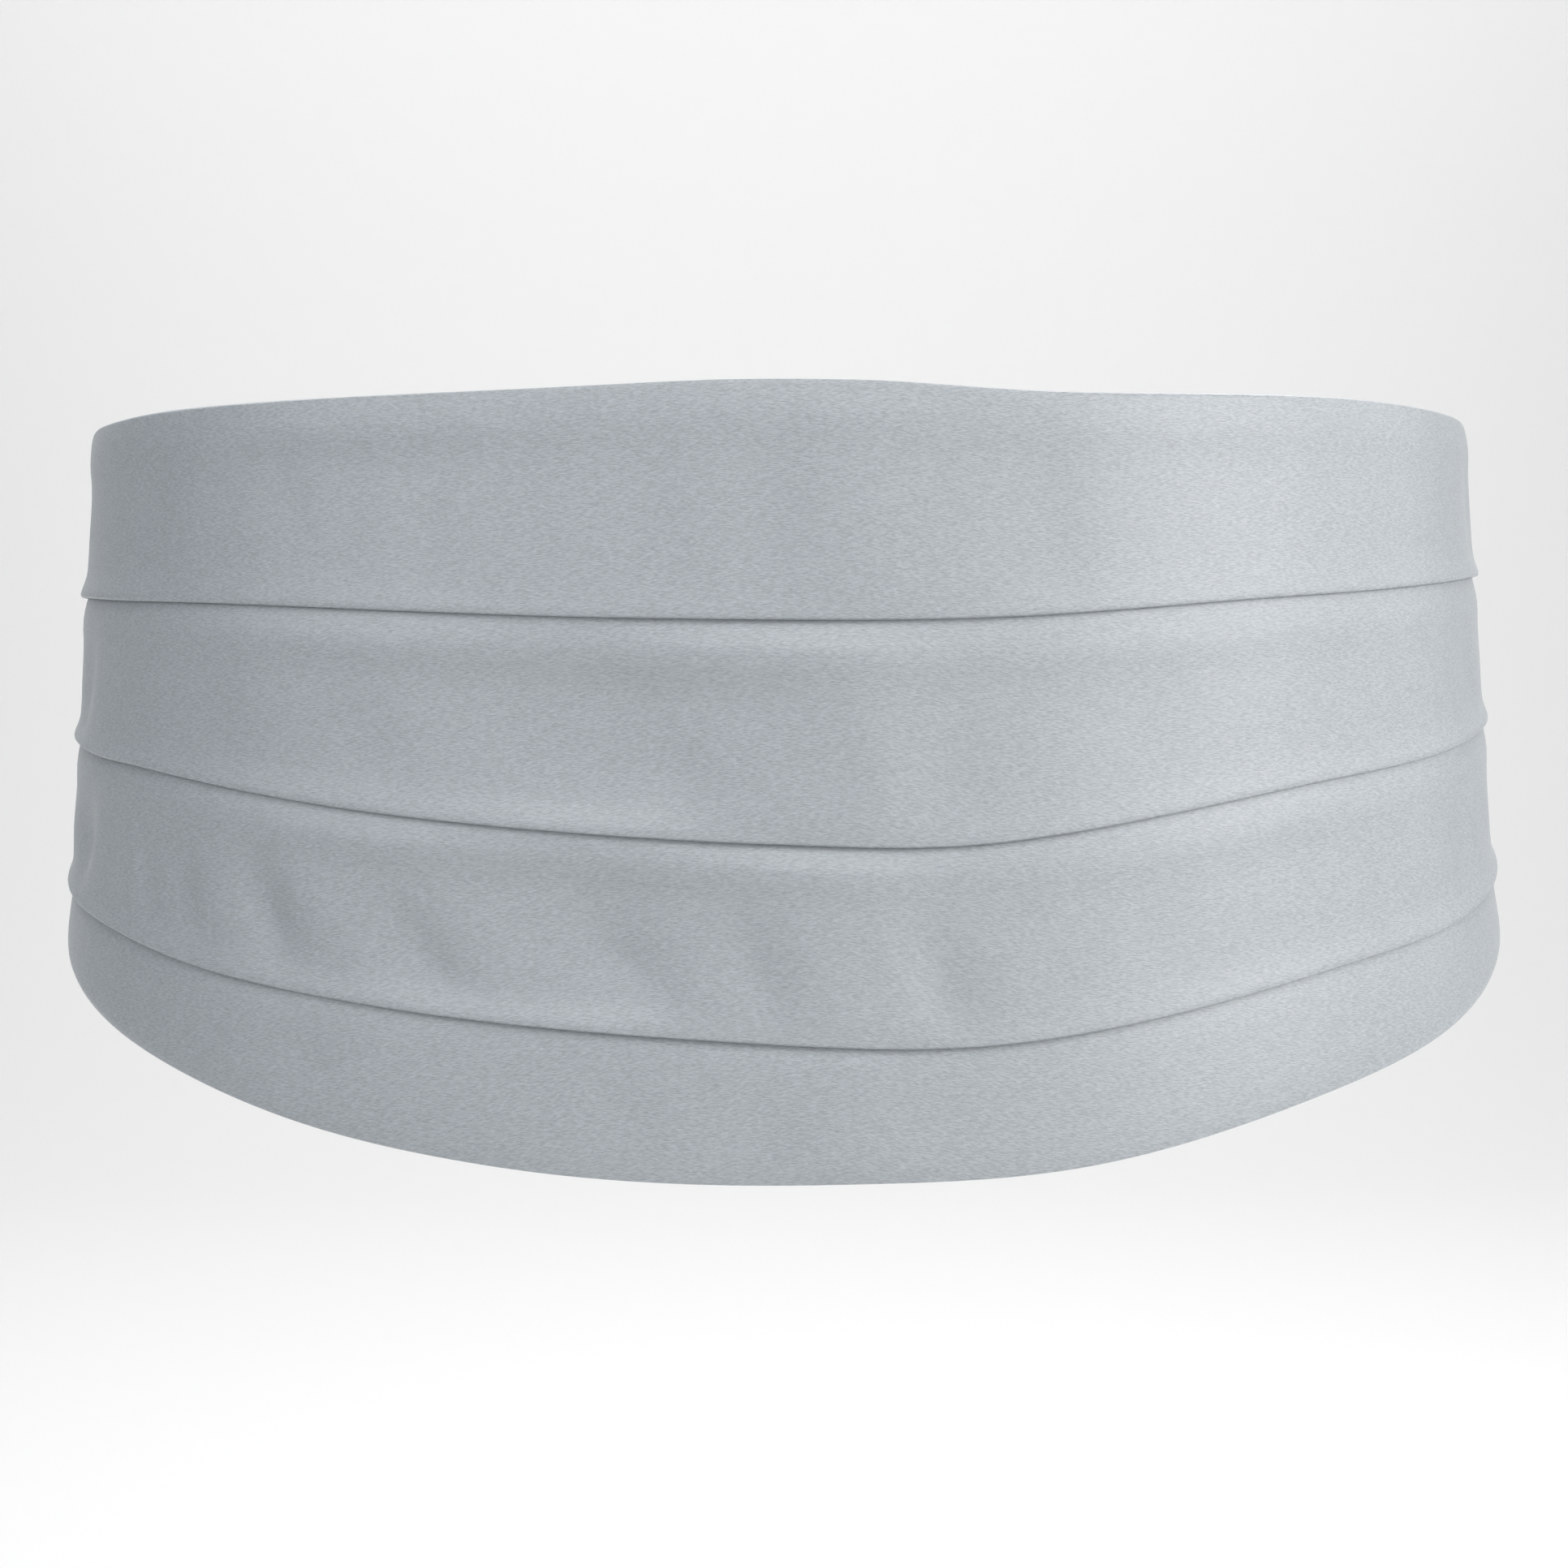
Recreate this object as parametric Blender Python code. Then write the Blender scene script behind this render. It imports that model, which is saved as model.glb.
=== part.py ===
"""A worn satin cummerbund: a pleated front panel with bound ends, and two straps that hook at the back.

Each piece is laid out flat first: x runs along the waist from the centre front, y runs in towards the
wearer and z runs up. bend_round_waist() then bends it round the waist ring. All sizes are in metres. The
origin is the middle of the waist ring, and the wearer faces -Y, with the left hand on the +X side.
"""

import math
from collections import namedtuple

import bmesh
import bpy
import numpy as np

# The waist ring, at the height of the straps
HALF_WIDTH = 0.1457
HALF_DEPTH = 0.1049
SQUARENESS = 2.2  # 2 would be an ellipse
HIP_FLARE = 0.483  # share by which the ring grows for each metre below the straps
RING_STEPS = 7200

# The cloth and how closely its layers lie
CLOTH = 0.0010
LAYER_GAP = 0.0003
SEAM_GAP = 0.0003
LAYER_STEP = CLOTH + LAYER_GAP
TURN_STEPS = 3  # straight stretches in each folded-over edge
TURN_REACH = (LAYER_STEP + CLOTH) / 2

# How far out from the wearer the middle of each layer of a pleat lies
INNER = CLOTH / 2
MIDDLE = INNER + LAYER_STEP
OUTER = MIDDLE + LAYER_STEP

# The panel, measured along the waist from the centre front
PANEL_SIDE = 0.157
PANEL_END = 0.315
PANEL_SECTIONS = 46
END_TAPER = 6.0  # slope of an edge at the panel's end, for each metre that it is above or below the middle

# Heights of the panel's edges and of its fold lines, as they run round the waist: on the wearer's right
# side, at the front, on the left side and at the panel's ends. turns_at is where the front height is
# reached, and roundness says how softly the line turns there.
Line = namedtuple("Line", "name right_side front left_side end turns_at roundness")
LINES = (
    Line("top edge", 0.0580, 0.0605, 0.0570, 0.027, -0.010, 0.05),
    Line("first fold", 0.0233, 0.0178, 0.0245, 0.013, 0.020, 0.12),
    Line("second fold", -0.0070, -0.0226, -0.0065, -0.001, 0.015, 0.21),
    Line("third fold", -0.0392, -0.0581, -0.0389, -0.014, 0.017, 0.46),
    Line("bottom edge", -0.0554, -0.0833, -0.0564, -0.027, 0.001, 1.06),
)

# The bands between those lines, from the top down. down is the share of the way from the line above to the
# line below, and out is how far the middle of the cloth lies from the wearer there.
Bend = namedtuple("Bend", "down out")
TOP_BAND = (
    Bend(0.13, 0.0025),
    Bend(0.27, 0.0021),
    Bend(0.50, 0.0022),
    Bend(0.68, 0.0024),
    Bend(0.79, OUTER),
)
LOWER_BAND = (
    Bend(0.00, 0.0006),
    Bend(0.20, 0.0024),
    Bend(0.45, 0.0022),
    Bend(0.68, 0.0024),
    Bend(0.79, OUTER),
)
BOTTOM_BAND = (
    Bend(0.00, 0.0006),
    Bend(0.30, 0.0020),
    Bend(0.60, 0.0023),
)

# Hidden depths, as shares of the height of the band that covers them
TUCK_SHARE = 0.22
TOP_HEM_SHARE = 0.25
BOTTOM_HEM_SHARE = 0.33

# The strip bound over each raw end of the panel
BINDING_WIDTH = 0.012
BINDING_HALF_HEIGHT = 0.0295
BINDING_CORNER = 0.0008

# The straps, and the hook and eye that join them
STRAP_HALF_WIDTH = 0.014
STRAP_LAYER = 0.0009  # how far out the strap lies between the binding and the closure
STRAP_LAP = 0.020  # length of the strap's end, folded back and sewn down
METAL_OUT = 0.0027  # how far out the middle of the metal lies
METAL_HALF_WIDTH = 0.0170
EYE_WIRE = 0.0010
EYE_STRAP_BAR = 0.018  # distances from the centre back
EYE_HOOK_BAR = 0.006
EYE_HALF_WIDTH = 0.0175
EYE_CORNER = 0.003
EYE_SIDES = 10
PLATE = 0.0014
PLATE_LENGTH = 0.015
SLOT_START = 0.0065
SLOT_END = 0.0115
SLOT_HALF_WIDTH = 0.0147
TONGUE = 0.0012
TONGUE_HALF_WIDTH = 0.006
TONGUE_RADIUS = EYE_WIRE + SEAM_GAP + TONGUE / 2

SATIN_COLOUR = (0.43, 0.45, 0.47, 1.0)
STRAP_COLOUR = (0.36, 0.38, 0.40, 1.0)
METAL_COLOUR = (0.66, 0.66, 0.67, 1.0)
SHARP_ANGLE = math.radians(50)


def signed_power(values, power):
    return np.sign(values) * np.abs(values) ** power


def waist_ring():
    """Points round the waist ring with their outward directions, by distance from the centre front."""
    turn = np.linspace(-1.5 * math.pi, 1.5 * math.pi, RING_STEPS * 3 // 2 + 1)
    x = HALF_WIDTH * signed_power(np.sin(turn), 2 / SQUARENESS)
    y = -HALF_DEPTH * signed_power(np.cos(turn), 2 / SQUARENESS)
    out_x = signed_power(x / HALF_WIDTH, SQUARENESS - 1) / HALF_WIDTH
    out_y = signed_power(y / HALF_DEPTH, SQUARENESS - 1) / HALF_DEPTH
    length = np.hypot(out_x, out_y)
    around = np.concatenate([[0.0], np.cumsum(np.hypot(np.diff(x), np.diff(y)))])
    around -= around[len(around) // 2]
    return {"around": around, "x": x, "y": y, "out_x": out_x / length, "out_y": out_y / length}


RING = waist_ring()
CENTRE_BACK = RING["around"][-1] * 2 / 3  # the ring holds one and a half turns, half of that each way


def bend_round_waist(flat):
    """Where a point of the flat layout lies once the cloth is bent round the waist."""
    around, inward, height = flat
    x, y, out_x, out_y = (
        float(np.interp(around, RING["around"], RING[name])) for name in ("x", "y", "out_x", "out_y")
    )
    growth = 1 - HIP_FLARE * height
    return (x * growth - out_x * inward, y * growth - out_y * inward, height)


def line_height(line, around):
    """Height of an edge or a fold line at a distance along the waist from the centre front."""
    side = 1 if around > line.turns_at else -1
    side_height = line.left_side if side > 0 else line.right_side
    reach = PANEL_SIDE - side * line.turns_at
    share = (side * (around - line.turns_at)) / reach
    scale = math.hypot(1, line.roundness) - line.roundness
    if share <= 1:
        rise = (math.hypot(share, line.roundness) - line.roundness) / scale
        return line.front + (side_height - line.front) * rise
    # behind the side, a smooth curve carries the line on to the panel's end
    span = PANEL_END - PANEL_SIDE
    late = (side * around - PANEL_SIDE) / span
    start_slope = (side_height - line.front) / (scale * reach * math.hypot(1, line.roundness)) * span
    end_slope = -END_TAPER * line.end * span
    return (
        side_height * (1 + 2 * late) * (1 - late) ** 2
        + start_slope * late * (1 - late) ** 2
        + line.end * late**2 * (3 - 2 * late)
        + end_slope * late**2 * (late - 1)
    )


def half_turn(start_out, end_out, height, side):
    """Points of a folded-over edge; side is 1 where it turns over at the top and -1 at the bottom."""
    centre = (start_out + end_out) / 2
    radius = (end_out - start_out) / 2
    angles = [math.pi * step / TURN_STEPS for step in range(TURN_STEPS + 1)]
    return [
        (centre - radius * math.cos(angle), height + side * abs(radius) * math.sin(angle)) for angle in angles
    ]


def band(bends, above, below):
    return [(bend.out, above + (below - above) * bend.down) for bend in bends]


def knife_pleat(fold, tuck):
    """The cloth turns up behind the fold line, and down again at the tuck's depth above it."""
    fold_turn = half_turn(OUTER, MIDDLE, fold + TURN_REACH, -1)
    tuck_turn = half_turn(MIDDLE, INNER, fold + tuck - TURN_REACH, 1)
    return fold_turn + tuck_turn


def pleated_section(around):
    """Middle of the cloth at one place, from the raw edge of the top hem to that of the bottom hem."""
    top, first, second, third, bottom = (line_height(line, around) for line in LINES)
    path = [(INNER, top - TOP_HEM_SHARE * (top - first))]
    path += half_turn(INNER, MIDDLE, top - TURN_REACH, 1)
    path += band(TOP_BAND, top, first)
    path += knife_pleat(first, TUCK_SHARE * (top - first))
    path += band(LOWER_BAND, first, second)
    path += knife_pleat(second, TUCK_SHARE * (first - second))
    path += band(LOWER_BAND, second, third)
    path += knife_pleat(third, TUCK_SHARE * (second - third))
    path += band(BOTTOM_BAND, third, bottom)
    path += half_turn(MIDDLE, INNER, bottom + TURN_REACH, -1)
    path += [(INNER, bottom + BOTTOM_HEM_SHARE * (third - bottom))]
    return path


def thicken(path, thickness):
    """The two faces of a wall whose middle follows a path, as pairs of points."""
    points = np.array(path)
    steps = np.diff(points, axis=0)
    steps /= np.linalg.norm(steps, axis=1)[:, None]
    heading = np.vstack([steps[:1], steps[:-1] + steps[1:], steps[-1:]])
    heading /= np.linalg.norm(heading, axis=1)[:, None]
    across = np.column_stack([-heading[:, 1], heading[:, 0]]) * thickness / 2
    return list(zip(points + across, points - across))


def wall_mesh(name, sections):
    """A closed wall through sections, each a list of pairs of flat points across the cloth."""
    shape = bmesh.new()
    rows = [
        [[shape.verts.new(bend_round_waist(point)) for point in pair] for pair in section]
        for section in sections
    ]
    for row, next_row in zip(rows, rows[1:]):
        for (a, b), (c, d), (e, f), (g, h) in zip(row, row[1:], next_row, next_row[1:]):
            shape.faces.new((a, c, g, e))
            shape.faces.new((b, f, h, d))
        for pair, next_pair in ((row[0], next_row[0]), (row[-1], next_row[-1])):
            shape.faces.new((pair[0], pair[1], next_pair[1], next_pair[0]))
    for row in (rows[0], rows[-1]):
        for (a, b), (c, d) in zip(row, row[1:]):
            shape.faces.new((a, b, d, c))
    bmesh.ops.recalc_face_normals(shape, faces=shape.faces)
    mesh = bpy.data.meshes.new(name)
    shape.to_mesh(mesh)
    shape.free()
    return mesh


def make_material(name, colour, roughness, metallic=0.0):
    material = bpy.data.materials.new(name)
    material.use_nodes = True
    shader = material.node_tree.nodes["Principled BSDF"]
    shader.inputs["Base Color"].default_value = colour
    shader.inputs["Roughness"].default_value = roughness
    shader.inputs["Metallic"].default_value = metallic
    material.diffuse_color = colour
    return material


def add_piece(mesh, material):
    mesh.materials.append(material)
    mesh.shade_smooth()
    mesh.set_sharp_from_angle(angle=SHARP_ANGLE)
    piece = bpy.data.objects.new(mesh.name, mesh)
    bpy.context.scene.collection.objects.link(piece)
    return piece


def upright_wall(name, path, half_height, thickness):
    """A wall that stands on a path of (distance round the waist, distance out)."""
    pairs = thicken(path, thickness)
    sections = [
        [[(around, -out, height) for around, out in pair] for pair in pairs]
        for height in (-half_height, half_height)
    ]
    return wall_mesh(name, sections)


def make_panel(satin):
    sections = []
    for around in np.linspace(-PANEL_END, PANEL_END, PANEL_SECTIONS):
        pairs = thicken(pleated_section(around), CLOTH)
        sections.append([[(around, -out, height) for out, height in pair] for pair in pairs])
    return add_piece(wall_mesh("pleated_panel", sections), satin)


def arc(centre, radius, start, end, steps):
    """Points of an arc; angles are in degrees, 0 along the waist and 90 away from the wearer."""
    angles = np.radians(np.linspace(start, end, steps + 1))
    return [(centre[0] + radius * math.cos(a), centre[1] + radius * math.sin(a)) for a in angles]


def on_side(path, side):
    """A path round the wearer's left side as it is, or turned over to the right side."""
    return path if side > 0 else [(2 * CENTRE_BACK - around, out) for around, out in path]


def make_binding(name, side, satin):
    """A folded strip over the raw end of the panel, outside, round the end and inside."""
    outside = OUTER + CLOTH + SEAM_GAP
    inside = -SEAM_GAP - CLOTH / 2
    end = PANEL_END + SEAM_GAP + CLOTH / 2
    corner = end - BINDING_CORNER
    path = [(PANEL_END - BINDING_WIDTH, outside)]
    path += arc((corner, outside - BINDING_CORNER), BINDING_CORNER, 90, 0, TURN_STEPS)
    path += arc((corner, inside + BINDING_CORNER), BINDING_CORNER, 0, -90, TURN_STEPS)
    path += [(PANEL_END - BINDING_WIDTH, inside)]
    mesh = upright_wall(name, on_side(path, side), BINDING_HALF_HEIGHT, CLOTH)
    return add_piece(mesh, satin)


def strap_path(bar_at, bar_half_thickness, bar_half_length):
    """From the binding along the wearer's back, round the bar of the metal piece and back to be sewn down."""
    start = PANEL_END + 2 * SEAM_GAP + CLOTH
    bar = CENTRE_BACK - bar_at
    radius = bar_half_thickness + SEAM_GAP + CLOTH / 2
    turn_at = bar + bar_half_length
    lap_end = bar - STRAP_LAP
    path = [(start, MIDDLE), (start + 0.006, MIDDLE - 0.0002), (start + 0.016, STRAP_LAYER)]
    path += [(around, STRAP_LAYER) for around in np.linspace(start + 0.024, lap_end, 4)]
    path += [(bar - 0.010, STRAP_LAYER)]
    path += arc((turn_at, METAL_OUT), radius, -90, 90, 6)
    path += [(bar - bar_half_length - 0.0015, METAL_OUT + radius)]
    path += [(bar - 0.007, STRAP_LAYER + LAYER_STEP + 0.0009)]
    path += [(bar - 0.010, STRAP_LAYER + LAYER_STEP), (lap_end, STRAP_LAYER + LAYER_STEP)]
    return path


def make_strap(name, side, path, cloth):
    mesh = upright_wall(name, on_side(path, side), STRAP_HALF_WIDTH, CLOTH)
    return add_piece(mesh, cloth)


def bend_mesh(mesh):
    """Bend a mesh that was laid out flat at the centre back."""
    for vertex in mesh.vertices:
        around, inward, height = vertex.co
        vertex.co = bend_round_waist((CENTRE_BACK + around, inward, height))
    mesh.update()
    return mesh


def make_eye(metal):
    """A wire ring with rounded corners; the left strap holds one long bar and the hook holds the other."""
    curve = bpy.data.curves.new("eye wire", "CURVE")
    curve.dimensions = "3D"
    curve.bevel_depth = EYE_WIRE
    curve.bevel_resolution = (EYE_SIDES - 4) // 2
    middle = -(EYE_STRAP_BAR + EYE_HOOK_BAR) / 2
    half_length = (EYE_STRAP_BAR - EYE_HOOK_BAR) / 2 - EYE_CORNER
    half_width = EYE_HALF_WIDTH - EYE_CORNER
    corners = ((1, 1, 0), (-1, 1, 90), (-1, -1, 180), (1, -1, 270))
    points = []
    for along, up, angle in corners:
        centre = (middle + along * half_length, up * half_width)
        points += arc(centre, EYE_CORNER, angle, angle + 90, 4)
    spline = curve.splines.new("POLY")
    spline.points.add(len(points) - 1)
    for point, (around, height) in zip(spline.points, points):
        point.co = (around, -METAL_OUT, height, 1)
    spline.use_cyclic_u = True
    wire = bpy.data.objects.new("eye wire", curve)
    bpy.context.scene.collection.objects.link(wire)
    bpy.context.view_layer.update()
    mesh = bpy.data.meshes.new_from_object(wire)
    bpy.data.objects.remove(wire)
    bpy.data.curves.remove(curve)
    mesh.name = "closure_eye"
    return add_piece(bend_mesh(mesh), metal)


def block(name, low, high):
    """A box, laid out flat at the centre back and bent, with its ends along the waist cut in four."""
    shape = bmesh.new()
    bmesh.ops.create_cube(shape, size=1)
    for vertex in shape.verts:
        vertex.co = [low[i] + (high[i] - low[i]) * (vertex.co[i] + 0.5) for i in range(3)]
    long_edges = [edge for edge in shape.edges if abs(edge.verts[0].co.x - edge.verts[1].co.x) > 1e-6]
    bmesh.ops.subdivide_edges(shape, edges=long_edges, cuts=3)
    bmesh.ops.recalc_face_normals(shape, faces=shape.faces)
    mesh = bpy.data.meshes.new(name)
    shape.to_mesh(mesh)
    shape.free()
    return bend_mesh(mesh)


def combine(piece, mesh, operation):
    """Cut another shape out of a piece, or join it on; the other shape stays as a hidden guide."""
    guide = bpy.data.objects.new(mesh.name, mesh)
    bpy.context.scene.collection.objects.link(guide)
    guide.hide_render = True
    guide.display_type = "WIRE"
    modifier = piece.modifiers.new(mesh.name, "BOOLEAN")
    modifier.operation = operation
    modifier.object = guide


def make_hook(metal):
    """A slotted plate that the right strap holds, with a tongue that curls round the bar of the eye."""
    near, far = -METAL_OUT - PLATE / 2, -METAL_OUT + PLATE / 2
    plate = block(
        "closure_hook", (0, near, -METAL_HALF_WIDTH), (PLATE_LENGTH, far, METAL_HALF_WIDTH)
    )
    piece = add_piece(plate, metal)
    slot = block(
        "hook slot",
        (SLOT_START, near - PLATE, -SLOT_HALF_WIDTH),
        (SLOT_END, far + PLATE, SLOT_HALF_WIDTH),
    )
    combine(piece, slot, "DIFFERENCE")
    bar = (CENTRE_BACK - EYE_HOOK_BAR, METAL_OUT)
    path = [(CENTRE_BACK + 0.004, METAL_OUT), (CENTRE_BACK + 0.001, METAL_OUT + 0.0001)]
    path += arc(bar, TONGUE_RADIUS, 60, 270, 8)
    path += [(bar[0] + 0.003, METAL_OUT - TONGUE_RADIUS)]
    tongue = upright_wall("hook tongue", path, TONGUE_HALF_WIDTH, TONGUE)
    combine(piece, tongue, "UNION")
    return piece


def main():
    for old in list(bpy.data.objects):
        bpy.data.objects.remove(old)
    satin = make_material("satin", SATIN_COLOUR, 0.42)
    strap_cloth = make_material("strap cloth", STRAP_COLOUR, 0.6)
    metal = make_material("metal", METAL_COLOUR, 0.25, metallic=1.0)
    make_panel(satin)
    make_binding("end_binding_left", 1, satin)
    make_binding("end_binding_right", -1, satin)
    make_strap("strap_left", 1, strap_path(EYE_STRAP_BAR, EYE_WIRE, 0), strap_cloth)
    bar_middle = (SLOT_END + PLATE_LENGTH) / 2
    bar_half_length = (PLATE_LENGTH - SLOT_END) / 2
    make_strap("strap_right", -1, strap_path(bar_middle, PLATE / 2, bar_half_length), strap_cloth)
    make_eye(metal)
    make_hook(metal)


main()
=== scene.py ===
# %% [markdown]
# # A pleated satin cummerbund
#
# A cummerbund is a broad sash worn round the waist. Its front is one length of satin laid in knife pleats,
# and narrow straps close it at the back. This lesson dresses a plain solid model of it: each cloth piece is
# cut flat, folded as a maker folds it, and only then bent round the waist.

# %% Load the solid model that everything is built around
import math
from collections import namedtuple

import bpy
import numpy as np
from mathutils import Matrix, Vector


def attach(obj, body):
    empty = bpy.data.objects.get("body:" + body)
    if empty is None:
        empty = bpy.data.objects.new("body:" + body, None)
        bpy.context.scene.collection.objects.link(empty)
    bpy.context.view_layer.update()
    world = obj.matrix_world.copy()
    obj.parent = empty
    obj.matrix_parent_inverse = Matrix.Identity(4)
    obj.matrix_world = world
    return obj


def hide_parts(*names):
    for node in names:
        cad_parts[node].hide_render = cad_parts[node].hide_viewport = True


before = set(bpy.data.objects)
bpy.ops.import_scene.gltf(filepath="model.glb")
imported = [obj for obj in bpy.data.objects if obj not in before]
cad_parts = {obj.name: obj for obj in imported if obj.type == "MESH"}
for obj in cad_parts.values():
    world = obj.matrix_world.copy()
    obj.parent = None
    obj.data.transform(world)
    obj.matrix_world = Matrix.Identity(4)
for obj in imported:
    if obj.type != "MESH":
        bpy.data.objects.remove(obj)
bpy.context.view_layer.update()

MM = 0.001
scene = bpy.context.scene
scene.view_settings.view_transform = "Standard"
print("solid pieces:", sorted(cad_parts))

# %% [markdown]
# ## The camera
#
# The photograph was taken from close in front, a little above the middle of the sash, looking slightly
# down. The lens is found from the width of the sash in the picture, which is 1932 pixels square: a focal
# length in pixels turns into millimetres on a 36 mm sensor. The picture also leans by half a degree.

# %% Place the camera
PICTURE = 1932
SENSOR = 36
FOCAL_PIXELS = 3421
CAMERA_PLACE = Vector((0.0004, -0.600, 0.022))
LOOKS_DOWN = math.radians(3.84)
LEANS = math.radians(-0.57)

camera_data = bpy.data.cameras.new("camera")
camera_data.sensor_width = SENSOR
camera_data.lens = FOCAL_PIXELS * SENSOR / PICTURE
camera = bpy.data.objects.new("camera", camera_data)
scene.collection.objects.link(camera)
tilt = Matrix.Rotation(math.pi / 2 - LOOKS_DOWN, 4, "X")
camera.matrix_world = Matrix.Translation(CAMERA_PLACE) @ tilt @ Matrix.Rotation(LEANS, 4, "Z")
scene.camera = camera
print("lens:", round(camera_data.lens, 1), "mm")

# %% [markdown]
# ## The waist
#
# Everything is laid out flat before it is bent round the waist: x runs along the waist from the centre
# front, y runs in towards the wearer and z is up. The waist is a ring a little squarer than an ellipse, and
# it grows towards the hips. One function bends any number of flat points at once.

# %% Bend flat points round the waist
HALF_WIDTH = 145.7 * MM
HALF_DEPTH = 104.9 * MM
SQUARENESS = 2.2
HIP_FLARE = 0.483
RING_STEPS = 10800


def signed_power(values, power):
    return np.sign(values) * np.abs(values) ** power


def waist_ring():
    """One and a half turns of the ring, with distances measured from the centre front."""
    turn = np.linspace(-1.5 * math.pi, 1.5 * math.pi, RING_STEPS + 1)
    x = HALF_WIDTH * signed_power(np.sin(turn), 2 / SQUARENESS)
    y = -HALF_DEPTH * signed_power(np.cos(turn), 2 / SQUARENESS)
    out_x = signed_power(x / HALF_WIDTH, SQUARENESS - 1) / HALF_WIDTH
    out_y = signed_power(y / HALF_DEPTH, SQUARENESS - 1) / HALF_DEPTH
    length = np.hypot(out_x, out_y)
    around = np.concatenate([[0.0], np.cumsum(np.hypot(np.diff(x), np.diff(y)))])
    around -= around[len(around) // 2]
    return around, (x, y, out_x / length, out_y / length)


RING_AROUND, RING_VALUES = waist_ring()
CENTRE_BACK = RING_AROUND[-1] * 2 / 3  # the ring runs three quarters of a turn each way


def bend_round_waist(flat):
    """Flat points, one to a row, as they lie round the waist."""
    around, inward, height = flat[:, 0], flat[:, 1], flat[:, 2]
    x, y, out_x, out_y = (np.interp(around, RING_AROUND, values) for values in RING_VALUES)
    growth = 1 - HIP_FLARE * height
    return np.column_stack([x * growth - out_x * inward, y * growth - out_y * inward, height])


print("waist:", round(2 * CENTRE_BACK, 3), "m round")

# %% [markdown]
# ## Where the folds run
#
# Five lines cross the front: the top edge, three fold lines and the bottom edge. The top edge rises a little
# to the centre. The others run down from the sides to a corner near the centre, each lower one further and
# in a softer curve. Behind the sides all five draw together towards the panel's narrow ends. The table gives
# the heights that matter, and the small rises and dips that keep a hand-laid pleat from looking ruled.

# %% The five lines and their small unevenness
PANEL_SIDE = 157 * MM
PANEL_END = 315 * MM
END_TAPER = 6.0  # slope of each line at the panel's end, for each metre of its height there
RIPPLES_END = 250  # how far along the waist, in millimetres, the unevenness has died away

Line = namedtuple("Line", "right_side front left_side end turns_at roundness ripples")
LINES = (
    Line(58.0, 60.5, 57.0, 27, -10, 0.05,
         ((-160, -0.3), (-125, 0.3), (-50, -0.2), (14, 0.4), (52, -0.9), (112, 0.4), (165, -0.2))),
    Line(23.3, 17.8, 24.5, 13, 20, 0.12,
         ((-155, -0.2), (-108, 0.3), (-40, -0.2), (20, 0.1), (49, -0.2), (90, 0.1), (119, -0.1))),
    Line(-7.0, -22.6, -6.5, -1, 15, 0.21,
         ((-153, -0.3), (-130, 0.4), (-75, -0.4), (0, 0.4), (39, -0.6), (97, 0.7), (142, -0.5))),
    Line(-39.2, -58.1, -38.9, -14, 17, 0.46,
         ((-149, 0.7), (-110, -0.5), (-75, -0.2), (-15, 0.6), (38, -0.8), (103, 0.7), (139, -0.6))),
    Line(-55.4, -83.3, -56.4, -27, 1, 1.06,
         ((-125, 0.2), (-85, -0.3), (-52, 0.1), (8, 0.6), (52, -1.0), (97, 0.0), (140, -0.9))),
)


def smooth_through(places, values, at):
    """A soft curve through a few values, level at its ends."""
    places, values = np.array(places, float), np.array(values, float)
    slopes = np.zeros(len(values))
    slopes[1:-1] = (values[2:] - values[:-2]) / (places[2:] - places[:-2])
    at = np.clip(at, places[0], places[-1])
    cell = np.clip(np.searchsorted(places, at, side="right") - 1, 0, len(places) - 2)
    width = places[cell + 1] - places[cell]
    share = (at - places[cell]) / width
    return (
        values[cell] * (1 + 2 * share) * (1 - share) ** 2
        + slopes[cell] * width * share * (1 - share) ** 2
        + values[cell + 1] * share**2 * (3 - 2 * share)
        + slopes[cell + 1] * width * share**2 * (share - 1)
    )


def line_height(line, around):
    """Height of one line at many distances along the waist, in metres."""
    left = around > line.turns_at * MM
    side = np.where(left, 1.0, -1.0)
    side_height = np.where(left, line.left_side, line.right_side) * MM
    front, end, turns_at = line.front * MM, line.end * MM, line.turns_at * MM
    reach = PANEL_SIDE - side * turns_at
    scale = math.hypot(1, line.roundness) - line.roundness
    share = side * (around - turns_at) / reach
    rise = (np.hypot(share, line.roundness) - line.roundness) / scale
    span = PANEL_END - PANEL_SIDE
    late = np.clip((side * around - PANEL_SIDE) / span, 0, 1)
    start_slope = (side_height - front) / (scale * reach * math.hypot(1, line.roundness)) * span
    behind = (
        side_height * (1 + 2 * late) * (1 - late) ** 2
        + start_slope * late * (1 - late) ** 2
        + end * late**2 * (3 - 2 * late)
        - END_TAPER * end * span * late**2 * (late - 1)
    )
    height = np.where(share <= 1, front + (side_height - front) * rise, behind)
    places, rises = zip((-RIPPLES_END, 0), *line.ripples, (RIPPLES_END, 0))
    return height + smooth_through(places, rises, around / MM) * MM


for line in LINES:
    print("line at the centre front:", round(float(line_height(line, np.zeros(1))[0]) / MM, 1), "mm")

# %% [markdown]
# ## The pleats in section
#
# Seen end on, the satin is one long ribbon. It starts at the raw edge of the top hem, turns over the top,
# and comes down as the first band. At each fold line it turns up behind itself, and down again a little
# higher, which is a knife pleat. So each band leaves the fold above from the deepest layer, swells to a soft
# ridge, and ends on the outermost layer with a small rolled lip. The last one swells lower down and ends in a
# hem like the top one. Three tables give the distance of the middle of the cloth out from the wearer, in
# millimetres, at shares of the way down each band. Another says how far in the lips are pressed along the
# waist: they lie flatter in places, and stand a little more proud at the wearer's sides.

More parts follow.
